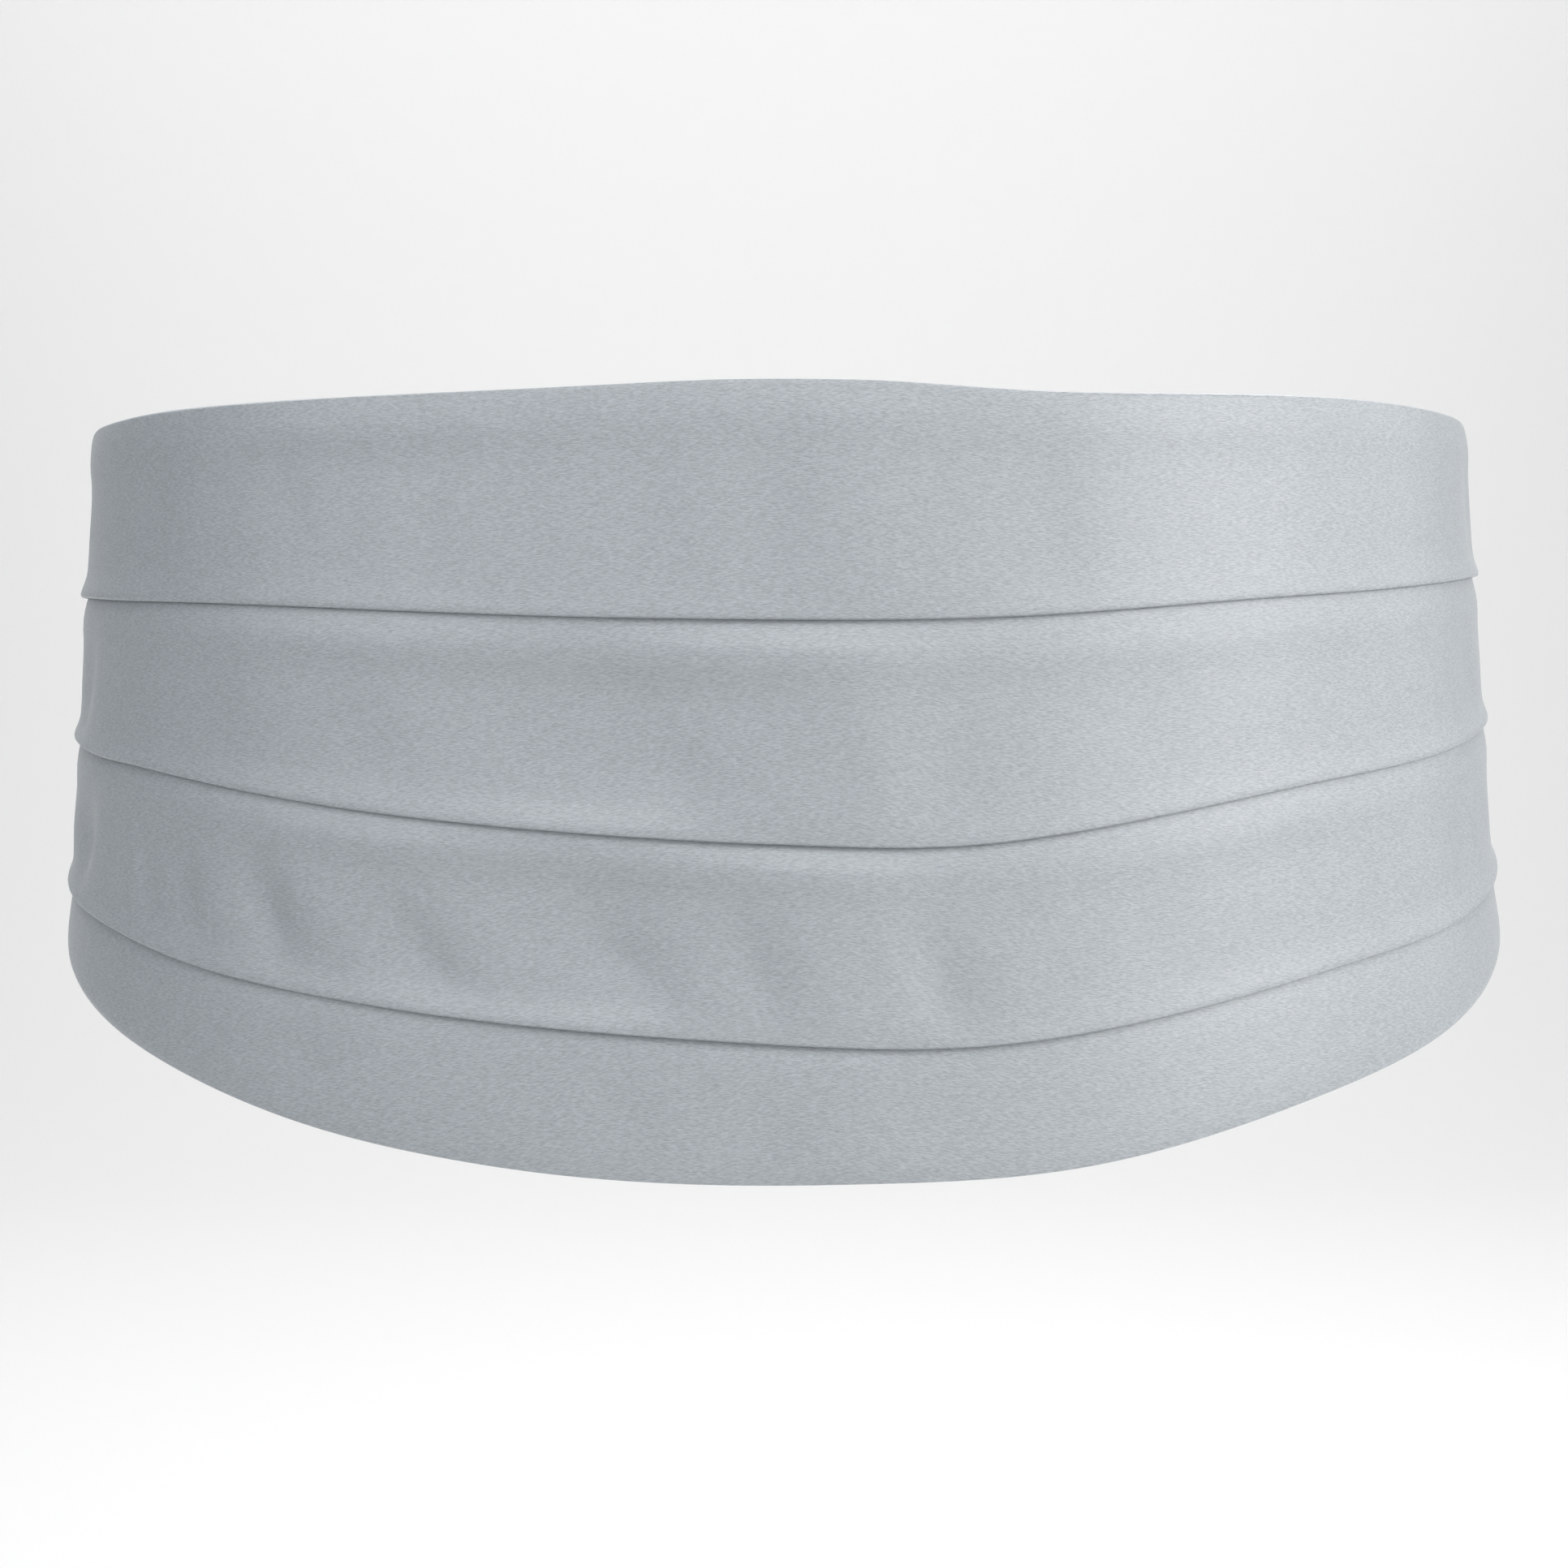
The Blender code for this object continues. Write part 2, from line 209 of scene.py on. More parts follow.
# %% The bands and the layers behind them
CLOTH = 0.4 * MM
INNER = 1.10 * MM  # how far out the layers lie, from the deepest to the front of a lip
MIDDLE = 1.52 * MM
HEM_FRONT = 2.05 * MM
LIP_BACK = 2.00 * MM
LIP_FRONT = 2.60 * MM
TUCK_SHARE = 0.22  # shares of their bands that the tucks and hems reach behind
TOP_HEM_SHARE = 0.24
BOTTOM_HEM_SHARE = 0.33

Press = namedtuple("Press", "along depth")
LIP_PRESSES = (
    Press(-290, 0.00),
    Press(-210, -0.30),
    Press(-160, -0.50),
    Press(-130, -0.10),
    Press(-95, 0.08),
    Press(-45, 0.00),
    Press(-5, -0.18),
    Press(35, 0.00),
    Press(75, 0.16),
    Press(125, 0.10),
    Press(160, -0.35),
    Press(210, -0.30),
    Press(290, 0.00),
)

Bend = namedtuple("Bend", "down out")
TOP_BAND = (
    Bend(0.00, 2.05),
    Bend(0.06, 2.30),
    Bend(0.13, 2.56),
    Bend(0.19, 2.60),
    Bend(0.28, 2.34),
    Bend(0.40, 2.18),
    Bend(0.60, 2.06),
    Bend(0.76, 1.98),
    Bend(0.85, 2.08),
    Bend(0.91, 2.32),
    Bend(0.95, 2.54),
    Bend(0.98, 2.66),
    Bend(1.00, 2.60),
)
LOWER_BAND = (
    Bend(-0.25, 1.10),
    Bend(-0.05, 1.15),
    Bend(0.00, 1.56),
    Bend(0.04, 1.80),
    Bend(0.09, 2.10),
    Bend(0.15, 2.32),
    Bend(0.20, 2.38),
    Bend(0.26, 2.28),
    Bend(0.32, 2.14),
    Bend(0.42, 2.07),
    Bend(0.60, 2.02),
    Bend(0.76, 1.95),
    Bend(0.85, 2.04),
    Bend(0.91, 2.31),
    Bend(0.95, 2.54),
    Bend(0.98, 2.66),
    Bend(1.00, 2.60),
)
BOTTOM_BAND = (
    Bend(-0.25, 1.10),
    Bend(-0.05, 1.15),
    Bend(0.00, 1.45),
    Bend(0.06, 1.68),
    Bend(0.22, 2.04),
    Bend(0.50, 2.34),
    Bend(0.75, 2.52),
    Bend(0.90, 2.38),
    Bend(1.00, 2.05),
)
print("cloth", CLOTH / MM, "mm thick; lips stand", round((LIP_FRONT - INNER) / MM, 2), "mm proud")

# %% [markdown]
# ## The creases
#
# Worn satin is never flat. Short slanting troughs run down the third band, where the pleats are pulled
# round the body, and fainter ones cross the others. Each is placed one by one: where it is along the waist,
# how far down its band, how long and wide it is, how far it leans and how deep it goes. A negative depth is a
# raised ridge, and a lean of 90 or -90 degrees lies level. A trough is steeper on the wearer's left than on
# the right, so a level one is steeper above for 90 and below for -90. The wearer's sides, which a front view
# hides, get similar ones.

# %% Creases placed one by one
Crease = namedtuple("Crease", "band along down length width lean depth")
CREASES = (
    # level swells under the folds with hollows below them, and a broad upright hollow and ridge at the centre
    Crease(0, -70, 0.30, 190, 6.0, 90, 0.40),
    Crease(0, -40, 0.80, 150, 8.0, 90, -0.20),
    Crease(0, 14, 0.45, 50, 20.0, 0, -0.80),
    Crease(1, -16, 0.17, 130, 3.8, -90, -1.15),
    Crease(1, -110, 0.20, 90, 4.5, 90, 0.25),
    Crease(1, -27, 0.62, 46, 9.5, -90, 1.25),
    Crease(1, -22, 0.32, 50, 5.0, 90, 0.60),
    Crease(1, -36, 0.52, 60, 18.0, 0, 1.40),
    Crease(1, 12, 0.52, 60, 16.0, 0, -1.60),
    Crease(2, -18, 0.13, 130, 3.6, -90, -1.00),
    Crease(2, -112, 0.20, 80, 4.0, 90, 0.20),
    Crease(2, -27, 0.56, 46, 9.0, -90, 1.20),
    Crease(2, -22, 0.27, 50, 4.5, 90, 0.60),
    Crease(2, -37, 0.50, 60, 18.0, 0, 1.30),
    Crease(2, 10, 0.50, 60, 16.0, 0, -1.50),
    # top band: faint upright hollows
    Crease(0, -131, 0.50, 24, 6.0, 4, 0.50),
    Crease(0, -118, 0.52, 20, 5.0, -3, -0.30),
    Crease(0, -94, 0.50, 18, 5.5, 14, 0.34),
    Crease(0, -80, 0.56, 20, 5.0, -8, 0.26),
    Crease(0, -64, 0.60, 26, 5.5, 6, 0.36),
    Crease(0, -22, 0.62, 16, 7.0, 12, 0.51),
    Crease(0, -2, 0.58, 22, 6.0, -6, 0.57),
    Crease(0, 14, 0.50, 22, 8.0, 10, -0.27),
    Crease(0, 48, 0.58, 26, 9.0, 8, 0.38),
    Crease(0, 92, 0.40, 18, 10.0, -12, 0.36),
    # second band: soft hollows above the lip, deeper near the centre
    Crease(1, -112, 0.52, 14, 8.0, 24, 0.37),
    Crease(1, -78, 0.60, 16, 8.0, 30, 0.44),
    Crease(1, -47, 0.50, 20, 9.0, 40, 0.44),
    Crease(1, -10, 0.40, 9, 18.0, 0, 0.51),
    Crease(1, -19, 0.70, 14, 7.5, 26, 0.94),
    Crease(1, 11, 0.67, 14, 7.0, 18, 0.48),
    Crease(1, 29, 0.66, 13, 6.0, 12, 0.27),
    Crease(1, 66, 0.55, 15, 10.0, 20, 0.37),
    Crease(1, 110, 0.50, 16, 9.0, -15, 0.37),
    # third band: the clear slanting creases
    Crease(2, -134, 0.58, 15, 3.2, 3, -0.70),
    Crease(2, -127, 0.62, 13, 3.8, 10, 0.60),
    Crease(2, -117, 0.60, 11, 3.6, 20, 1.00),
    Crease(2, -96, 0.58, 14, 4.4, 30, 1.50),
    Crease(2, -84, 0.56, 12, 4.6, 26, -0.35),
    Crease(2, -65, 0.66, 17, 4.8, 40, 1.20),
    Crease(2, -51, 0.60, 13, 5.0, 38, -0.35),
    Crease(2, -28, 0.64, 14, 5.4, 42, 1.25),
    Crease(2, -20, 0.76, 7, 3.6, 30, 0.40),
    Crease(2, -4, 0.63, 17, 4.4, 22, 0.90),
    Crease(2, 4, 0.48, 12, 4.0, 18, -0.30),
    Crease(2, 15, 0.62, 13, 4.0, 12, 0.35),
    Crease(2, 28, 0.64, 15, 4.6, 22, 0.90),
    Crease(2, 39, 0.62, 12, 4.6, 20, -0.25),
    Crease(2, 68, 0.55, 14, 8.0, 24, 0.28),
    Crease(2, 98, 0.35, 12, 9.0, -20, 0.28),
    # bottom band: almost smooth
    Crease(3, 14, 0.50, 50, 18.0, 0, -0.80),
    Crease(3, -86, 0.45, 10, 7.0, 30, 0.44),
    Crease(3, -28, 0.55, 11, 6.0, 30, 0.44),
    Crease(3, -4, 0.60, 10, 6.0, 24, 0.52),
    Crease(3, 24, 0.55, 12, 8.0, 16, 0.36),
    # hidden sides
    Crease(0, -176, 0.55, 20, 5.0, -8, 0.72),
    Crease(0, -214, 0.50, 18, 5.5, 12, 0.64),
    Crease(0, -268, 0.55, 14, 5.0, -14, 0.64),
    Crease(0, 171, 0.55, 19, 5.5, 10, 0.64),
    Crease(0, 208, 0.52, 18, 5.0, -12, 0.72),
    Crease(0, 262, 0.58, 14, 5.0, 16, 0.64),
    Crease(1, -162, 0.58, 14, 4.5, -22, 1.00),
    Crease(1, -238, 0.60, 12, 4.5, -26, 0.90),
    Crease(1, 158, 0.60, 14, 5.0, 24, 1.00),
    Crease(1, 231, 0.58, 13, 4.5, 28, 0.90),
    Crease(2, -158, 0.60, 14, 4.2, -26, 1.60),
    Crease(2, -171, 0.56, 12, 4.4, -24, -0.40),
    Crease(2, -189, 0.62, 13, 4.2, -30, 1.50),
    Crease(2, -219, 0.58, 11, 4.6, -22, 1.25),
    Crease(2, -246, 0.60, 10, 4.0, -24, 1.00),
    Crease(2, 149, 0.60, 14, 4.2, 26, 1.50),
    Crease(2, 166, 0.56, 12, 4.4, 24, -0.40),
    Crease(2, 186, 0.58, 13, 4.2, 30, 1.60),
    Crease(2, 209, 0.60, 11, 4.6, 20, 1.10),
    Crease(2, 242, 0.60, 10, 4.0, 22, 1.00),
    Crease(3, -205, 0.55, 9, 5.0, -24, 0.48),
    Crease(3, 199, 0.55, 9, 5.0, 22, 0.48),
)
CREASE_FADE = 0.16  # share of a band over which creases die away at its ends
SLACK = 0.12  # height of the slow waves in the cloth, in millimetres
SLACK_SHORT = 17.0  # their two lengths along the waist, in millimetres to the radian
SLACK_LONG = 43.0
SLACK_DOWN = 4.1  # radians of the long ones down a band
SLACK_SHIFT = 1.3  # radians that the short ones shift by from one band to the next
STEEP_SIDE = 0.75  # shares of its width that a trough has on its two sides
GENTLE_SIDE = 1.35
LENGTH_TO_FADE = 1.6  # a trough's length over the distance in which it dies away


def fade_at_ends(share):
    rise = np.clip(share / CREASE_FADE, 0, 1)
    fall = np.clip((1 - share) / CREASE_FADE, 0, 1)
    return rise * rise * (3 - 2 * rise) * fall * fall * (3 - 2 * fall)


def band_creases(band, around, down, band_height):
    """How far in the creases push the cloth of one band, in millimetres."""
    along = around / MM
    waves_along = np.sin(along / SLACK_SHORT + SLACK_SHIFT * band)
    depth = SLACK * waves_along * np.sin(down * SLACK_DOWN + along / SLACK_LONG + band)
    for crease in CREASES:
        if crease.band != band:
            continue
        past = along - crease.along
        below = (down - crease.down) * band_height / MM
        lean = math.radians(crease.lean)
        beside = past * math.cos(lean) - below * math.sin(lean)
        lengthwise = past * math.sin(lean) + below * math.cos(lean)
        width = crease.width * np.where(beside > 0, STEEP_SIDE, GENTLE_SIDE)
        shape = np.exp(-((beside / width) ** 2) - (lengthwise / (crease.length / LENGTH_TO_FADE)) ** 2)
        depth = depth + crease.depth * shape
    return depth * fade_at_ends(down)


def press_creases(around, height, line_heights):
    """How far in the cloth lies at each point, the same for every layer there, in metres."""
    total = np.zeros_like(height)
    for band, (above, below) in enumerate(zip(line_heights, line_heights[1:])):
        tall = (above - below)[:, None]
        down = np.clip((above[:, None] - height) / tall, 0, 1)
        total += band_creases(band, around[:, None], down, tall)
    return total * MM


print(len(CREASES), "creases placed")

# %% [markdown]
# ## Folding the panel
#
# The panel is a sheet, so it begins as a flat grid, the maker's cut. The grid's rows are spaced to fall
# close together where the cloth turns and further apart where it hangs. This step works out two places for
# each point of the grid: on the cutting table, and folded. The length of cloth in each column gives the cut
# its real outline, and also the UV map that the weave will follow.

# %% Work out where each row of the cloth goes
COLUMNS = 269
FLAP_ROWS = 4
TURN_ROWS = 8
BACK_ROWS = 4
BAND_ROWS = (26, 27, 27, 20)
ROWS_GATHER = 0.11  # how much a band's rows draw towards its two ends
LIP_FROM = 0.84  # share of the way down a band at which its lip begins


def half_turn(start_out, end_out, height, side):
    """Rows of a turned edge: side is 1 where the cloth goes over and -1 where it goes under."""
    angle = np.linspace(0, math.pi, TURN_ROWS)[None, :]
    start_out, end_out = (np.broadcast_to(out, height.shape)[:, None] for out in (start_out, end_out))
    centre, radius = (start_out + end_out) / 2, (end_out - start_out) / 2
    return centre - radius * np.cos(angle), height[:, None] + side * abs(radius) * np.sin(angle)


def turn_reach(start_out, end_out):
    return abs(end_out - start_out) / 2 + CLOTH / 2


def straight(start, end, rows):
    """Rows between two places, without the places themselves."""
    share = np.linspace(0, 1, rows + 2)[1:-1][None, :]
    (start_out, start_height), (end_out, end_height) = start, end
    out = np.broadcast_to(start_out + (end_out - start_out) * share, (len(start_height), rows))
    return out, start_height[:, None] + (end_height - start_height)[:, None] * share


def hang(rows, bends, above, below, start_height, end_height, pressed=0.0):
    """Rows of a band, closer together at its two ends; pressed is how far in its lip lies."""
    share = np.linspace(0, 1, rows + 2)[1:-1]
    share = share - ROWS_GATHER * np.sin(2 * math.pi * share)
    height = start_height[:, None] + (end_height - start_height)[:, None] * share[None, :]
    downs, outs = zip(*bends)
    down = (above[:, None] - height) / (above - below)[:, None]
    out = smooth_through(downs, outs, down) * MM
    into_lip = smooth_through((LIP_FROM, 1.0), (0, 1), down)
    return out - into_lip * np.broadcast_to(pressed, height.shape[:1])[:, None], height


def knife_pleat(fold, above, lip_front):
    """The lip, the layer that goes up behind it and the turn down again, with the heights of both turns."""
    lip = fold + turn_reach(LIP_BACK, lip_front)
    tuck_top = fold + TUCK_SHARE * (above - fold) - turn_reach(INNER, MIDDLE)
    parts = [
        half_turn(lip_front, LIP_BACK, lip, -1),
        straight((LIP_BACK, lip), (MIDDLE, tuck_top), BACK_ROWS),
        half_turn(MIDDLE, INNER, tuck_top, 1),
    ]
    return parts, lip, tuck_top


def fold_panel(around):
    """Distance out and height of every point of the cloth, a row for each place along the waist."""
    heights = [line_height(line, around) for line in LINES]
    top, third, bottom = heights[0], heights[3], heights[4]
    hem_reach = turn_reach(INNER, HEM_FRONT)
    start, end = top - hem_reach, bottom + hem_reach
    flap_end = top - TOP_HEM_SHARE * (top - heights[1])
    parts = [straight((INNER, flap_end), (INNER, start), FLAP_ROWS)]
    parts.append(half_turn(INNER, HEM_FRONT, start, 1))
    pressed = smooth_through(*zip(*LIP_PRESSES), around / MM) * MM
    for band, bends in enumerate((TOP_BAND, LOWER_BAND, LOWER_BAND)):
        above, fold = heights[band], heights[band + 1]
        pleat, lip, tuck_top = knife_pleat(fold, above, LIP_FRONT - pressed)
        parts.append(hang(BAND_ROWS[band], bends, above, fold, start, lip, pressed))
        parts += pleat
        start = tuck_top
    parts.append(hang(BAND_ROWS[3], BOTTOM_BAND, third, bottom, start, end))
    parts.append(half_turn(HEM_FRONT, INNER, end, -1))
    flap_end = bottom + BOTTOM_HEM_SHARE * (third - bottom)
    parts.append(straight((INNER, end), (INNER, flap_end), FLAP_ROWS))
    out, height = (np.hstack(columns) for columns in zip(*parts))
    return out - press_creases(around, height, heights), height


panel_around = np.linspace(-PANEL_END, PANEL_END, COLUMNS)
panel_out, panel_height = fold_panel(panel_around)
ROWS = panel_out.shape[1]
steps = np.hypot(np.diff(panel_out, axis=1), np.diff(panel_height, axis=1))
panel_length = np.hstack([np.zeros((COLUMNS, 1)), np.cumsum(steps, axis=1)])

# %% [markdown]
# ## Cutting and making the panel
#
# The grid primitive is the cut: its points are first spread to the cut's real outline, so that its area can
# be measured, and a UV map in metres is laid on it. Then the same points are folded and bent round the
# waist. Solidify gives the satin its thickness on both sides of that surface.

# %% Helpers to begin a piece and finish it
def deselect():
    if bpy.context.object and bpy.context.object.mode != "OBJECT":
        bpy.ops.object.mode_set(mode="OBJECT")
    bpy.ops.object.select_all(action="DESELECT")


def select_only(piece):
    deselect()
    piece.select_set(True)
    bpy.context.view_layer.objects.active = piece


def apply_modifiers(piece):
    select_only(piece)
    for modifier in list(piece.modifiers):
        bpy.ops.object.modifier_apply(modifier=modifier.name)


def set_points(piece, points):
    piece.data.vertices.foreach_set("co", np.asarray(points, np.float32).ravel())
    piece.data.update()


def get_points(piece):
    points = np.empty(len(piece.data.vertices) * 3, np.float32)
    piece.data.vertices.foreach_get("co", points)
    return points.reshape(-1, 3).astype(float)


def cut_sheet(name, columns, rows):
    """A flat grid one metre square, and the column and row that each of its points belongs to."""
    deselect()
    bpy.ops.mesh.primitive_grid_add(x_subdivisions=columns - 1, y_subdivisions=rows - 1, size=1)
    piece = bpy.context.object
    piece.name = piece.data.name = name
    points = get_points(piece)
    column = np.rint((points[:, 0] + 0.5) * (columns - 1)).astype(int)
    row = np.rint((0.5 - points[:, 1]) * (rows - 1)).astype(int)
    return piece, column, row


def lay_uv(piece, u, v):
    """A UV map in metres along and across the cloth, from one value for each point."""
    corners = np.empty(len(piece.data.loops), np.int32)
    piece.data.loops.foreach_get("vertex_index", corners)
    layer = piece.data.uv_layers[0] if piece.data.uv_layers else piece.data.uv_layers.new(name="cloth")
    layer.name = "cloth"
    layer.data.foreach_set("uv", np.column_stack([u[corners], v[corners]]).astype(np.float32).ravel())


def thicken(piece, thickness):
    modifier = piece.modifiers.new("cloth thickness", "SOLIDIFY")
    modifier.thickness = thickness
    modifier.offset = 0
    modifier.use_even_offset = True
    apply_modifiers(piece)
    piece.data.shade_smooth()


def triangles(piece):
    return sum(len(face.vertices) - 2 for face in piece.data.polygons)


# %% Cut the panel, fold it and bend it round the waist
panel, panel_column, panel_row = cut_sheet("satin_panel", COLUMNS, ROWS)
along = panel_around[panel_column]
across = panel_length[panel_column, panel_row]
set_points(panel, np.column_stack([along, -across, np.zeros(len(along))]))
lay_uv(panel, along, -across)

folded = np.column_stack(
    [along, -panel_out[panel_column, panel_row], panel_height[panel_column, panel_row]]
)
set_points(panel, bend_round_waist(folded))
thicken(panel, CLOTH)
print("panel:", triangles(panel), "triangles")

# %% [markdown]
# ## Finishes
#
# The satin's face shows a fine crosswise grain: short threads, several times longer than they are wide, that
# lie along the waist. One node group makes that grain for every cloth here, from the UV map in metres, and
# each material gives it its own thread size. The straps have long narrow ones that run up and down. Each row
# of threads is shifted by a chance amount, so that no pattern builds up from row to row. The group gives out
# only a height and a shade; the shader itself stays in each material.

# %% A shared node group for woven grain
ROW_SHIFT = 60  # thread lengths that a row may be shifted by
SLUB_SHARE = 0.25  # how much the long slubs add to the short threads


def woven_grain_group():
    group = bpy.data.node_groups.new("woven grain", "ShaderNodeTree")
    for name, default in (("Thread length", 1.3), ("Thread width", 0.3), ("Slub length", 14.0)):
        socket = group.interface.new_socket(name=name, in_out="INPUT", socket_type="NodeSocketFloat")
        socket.default_value = default
    group.interface.new_socket(name="Height", in_out="OUTPUT", socket_type="NodeSocketFloat")
    group.interface.new_socket(name="Shade", in_out="OUTPUT", socket_type="NodeSocketFloat")
    nodes, links = group.nodes, group.links
    entry, leave = nodes.new("NodeGroupInput"), nodes.new("NodeGroupOutput")
    uv = nodes.new("ShaderNodeUVMap")
    uv.uv_map = "cloth"
    parts = nodes.new("ShaderNodeSeparateXYZ")
    links.new(uv.outputs["UV"], parts.inputs[0])

    def in_threads(coordinate, size_socket):
        scaled = nodes.new("ShaderNodeMath")
        scaled.operation = "MULTIPLY"
        links.new(coordinate, scaled.inputs[0])
        scaled.inputs[1].default_value = 1 / MM
        shared = nodes.new("ShaderNodeMath")
        shared.operation = "DIVIDE"
        links.new(scaled.outputs[0], shared.inputs[0])
        links.new(size_socket, shared.inputs[1])
        return shared.outputs[0]

    def noise_over(u, v, detail):
        thread = nodes.new("ShaderNodeMath")
        thread.operation = "FLOOR"
        links.new(v, thread.inputs[0])
        chance = nodes.new("ShaderNodeTexWhiteNoise")
        chance.noise_dimensions = "1D"
        links.new(thread.outputs[0], chance.inputs["W"])
        shifted = nodes.new("ShaderNodeMath")
        shifted.operation = "MULTIPLY_ADD"
        shifted.inputs[1].default_value = ROW_SHIFT
        links.new(chance.outputs["Value"], shifted.inputs[0])
        links.new(u, shifted.inputs[2])
        place = nodes.new("ShaderNodeCombineXYZ")
        links.new(shifted.outputs[0], place.inputs[0])
        links.new(v, place.inputs[1])
        noise = nodes.new("ShaderNodeTexNoise")
        noise.noise_dimensions = "2D"
        noise.inputs["Scale"].default_value = 1
        noise.inputs["Detail"].default_value = detail
        links.new(place.outputs[0], noise.inputs["Vector"])
        return noise.outputs["Fac"]

    across = in_threads(parts.outputs[1], entry.outputs["Thread width"])
    threads = noise_over(in_threads(parts.outputs[0], entry.outputs["Thread length"]), across, detail=2.0)
    slubs = noise_over(in_threads(parts.outputs[0], entry.outputs["Slub length"]), across, detail=1.0)
    mix = nodes.new("ShaderNodeMath")
    mix.operation = "MULTIPLY_ADD"
    mix.inputs[1].default_value = SLUB_SHARE
    links.new(slubs, mix.inputs[0])
    links.new(threads, mix.inputs[2])
    links.new(mix.outputs[0], leave.inputs["Height"])
    links.new(threads, leave.inputs["Shade"])
    return group


WOVEN_GRAIN = woven_grain_group()
print("the grain gives out:", [item.name for item in WOVEN_GRAIN.interface.items_tree][:2])

# %% Cloth materials
Cloth = namedtuple("Cloth", "name dark light thread_length thread_width roughness bump sheen gloss")
DARK_FROM, LIGHT_FROM = 0.30, 0.70  # places in the grain's shade where the two colours are reached
ROUGHNESS_SWING = 0.05
GRAIN_DEPTH = 0.04 * MM
SHEEN_ROUGHNESS = 0.45


def cloth_material(cloth):
    """Cloth whose colour runs between two shades of one hue along the grain."""
    material = bpy.data.materials.new(cloth.name)
    material.use_nodes = True
    nodes, links = material.node_tree.nodes, material.node_tree.links
    shader = nodes["Principled BSDF"]
    grain = nodes.new("ShaderNodeGroup")
    grain.node_tree = WOVEN_GRAIN
    grain.inputs["Thread length"].default_value = cloth.thread_length
    grain.inputs["Thread width"].default_value = cloth.thread_width
    shades = nodes.new("ShaderNodeValToRGB")
    dark_end, light_end = shades.color_ramp.elements
    dark_end.position, dark_end.color = DARK_FROM, (*cloth.dark, 1)
    light_end.position, light_end.color = LIGHT_FROM, (*cloth.light, 1)
    links.new(grain.outputs["Shade"], shades.inputs[0])
    links.new(shades.outputs[0], shader.inputs["Base Color"])
    roughness = nodes.new("ShaderNodeMapRange")
    roughness.inputs["To Min"].default_value = cloth.roughness - ROUGHNESS_SWING
    roughness.inputs["To Max"].default_value = cloth.roughness + ROUGHNESS_SWING
    links.new(grain.outputs["Shade"], roughness.inputs["Value"])
    links.new(roughness.outputs[0], shader.inputs["Roughness"])
    relief = nodes.new("ShaderNodeBump")
    relief.inputs["Strength"].default_value = cloth.bump
    relief.inputs["Distance"].default_value = GRAIN_DEPTH
    links.new(grain.outputs["Height"], relief.inputs["Height"])
    links.new(relief.outputs[0], shader.inputs["Normal"])
    shader.inputs["Sheen Weight"].default_value = cloth.sheen
    shader.inputs["Sheen Roughness"].default_value = SHEEN_ROUGHNESS
    shader.inputs["Specular IOR Level"].default_value = cloth.gloss
    return material


SATIN = cloth_material(
    Cloth(
        name="silver satin",
        dark=(0.310, 0.334, 0.354),
        light=(0.455, 0.487, 0.515),
        thread_length=1.1,
        thread_width=0.18,
        roughness=0.36,
        bump=1.0,
        sheen=0.02,
        gloss=0.50,
    )
)
STRAP_CLOTH = cloth_material(
    Cloth(
        name="grey strap",
        dark=(0.24, 0.255, 0.27),
        light=(0.31, 0.33, 0.35),
        thread_length=0.35,
        thread_width=4.0,
        roughness=0.60,
        bump=0.8,
        sheen=0.1,
        gloss=0.35,
    )
)
THREAD = cloth_material(
    Cloth(
        name="sewing thread",
        dark=(0.47, 0.50, 0.52),
        light=(0.57, 0.60, 0.62),
        thread_length=0.3,
        thread_width=0.1,
        roughness=0.45,
        bump=0.3,
        sheen=0.2,
        gloss=0.5,
    )
)
print("cloths:", SATIN.name, "/", STRAP_CLOTH.name, "/", THREAD.name)

# %% [markdown]
# Plain nickel wire and plate have a soft shine, with faint brushing. The brushing reads the object's own
# coordinates, so it stays put when the part is moved.

# %% Metal material
NICKEL_COLOUR = (0.54, 0.54, 0.53, 1)
NICKEL_ROUGHNESS = (0.18, 0.42)
BRUSH_STROKES = (4000, 4000, 300)  # to the metre, so they are fine across and long up and down
SCRATCH_STRENGTH = 0.2
SCRATCH_DEPTH = 0.02 * MM


def metal_material():
    material = bpy.data.materials.new("plain nickel")
    material.use_nodes = True
    nodes, links = material.node_tree.nodes, material.node_tree.links
    shader = nodes["Principled BSDF"]
    shader.inputs["Base Color"].default_value = NICKEL_COLOUR
    shader.inputs["Metallic"].default_value = 1
    place = nodes.new("ShaderNodeTexCoord")
    stretch = nodes.new("ShaderNodeMapping")
    stretch.inputs["Scale"].default_value = BRUSH_STROKES
    links.new(place.outputs["Object"], stretch.inputs[0])
    brushing = nodes.new("ShaderNodeTexNoise")
    brushing.inputs["Scale"].default_value = 1
    brushing.inputs["Detail"].default_value = 1
    links.new(stretch.outputs[0], brushing.inputs["Vector"])
    roughness = nodes.new("ShaderNodeMapRange")
    roughness.inputs["To Min"].default_value, roughness.inputs["To Max"].default_value = NICKEL_ROUGHNESS
    links.new(brushing.outputs["Fac"], roughness.inputs["Value"])
    links.new(roughness.outputs[0], shader.inputs["Roughness"])
    scratches = nodes.new("ShaderNodeBump")
    scratches.inputs["Strength"].default_value = SCRATCH_STRENGTH
    scratches.inputs["Distance"].default_value = SCRATCH_DEPTH
    links.new(brushing.outputs["Fac"], scratches.inputs["Height"])
    links.new(scratches.outputs[0], shader.inputs["Normal"])
    return material


NICKEL = metal_material()


def use_material(piece, material):
    piece.data.materials.clear()
    piece.data.materials.append(material)


print("metal:", NICKEL.name)
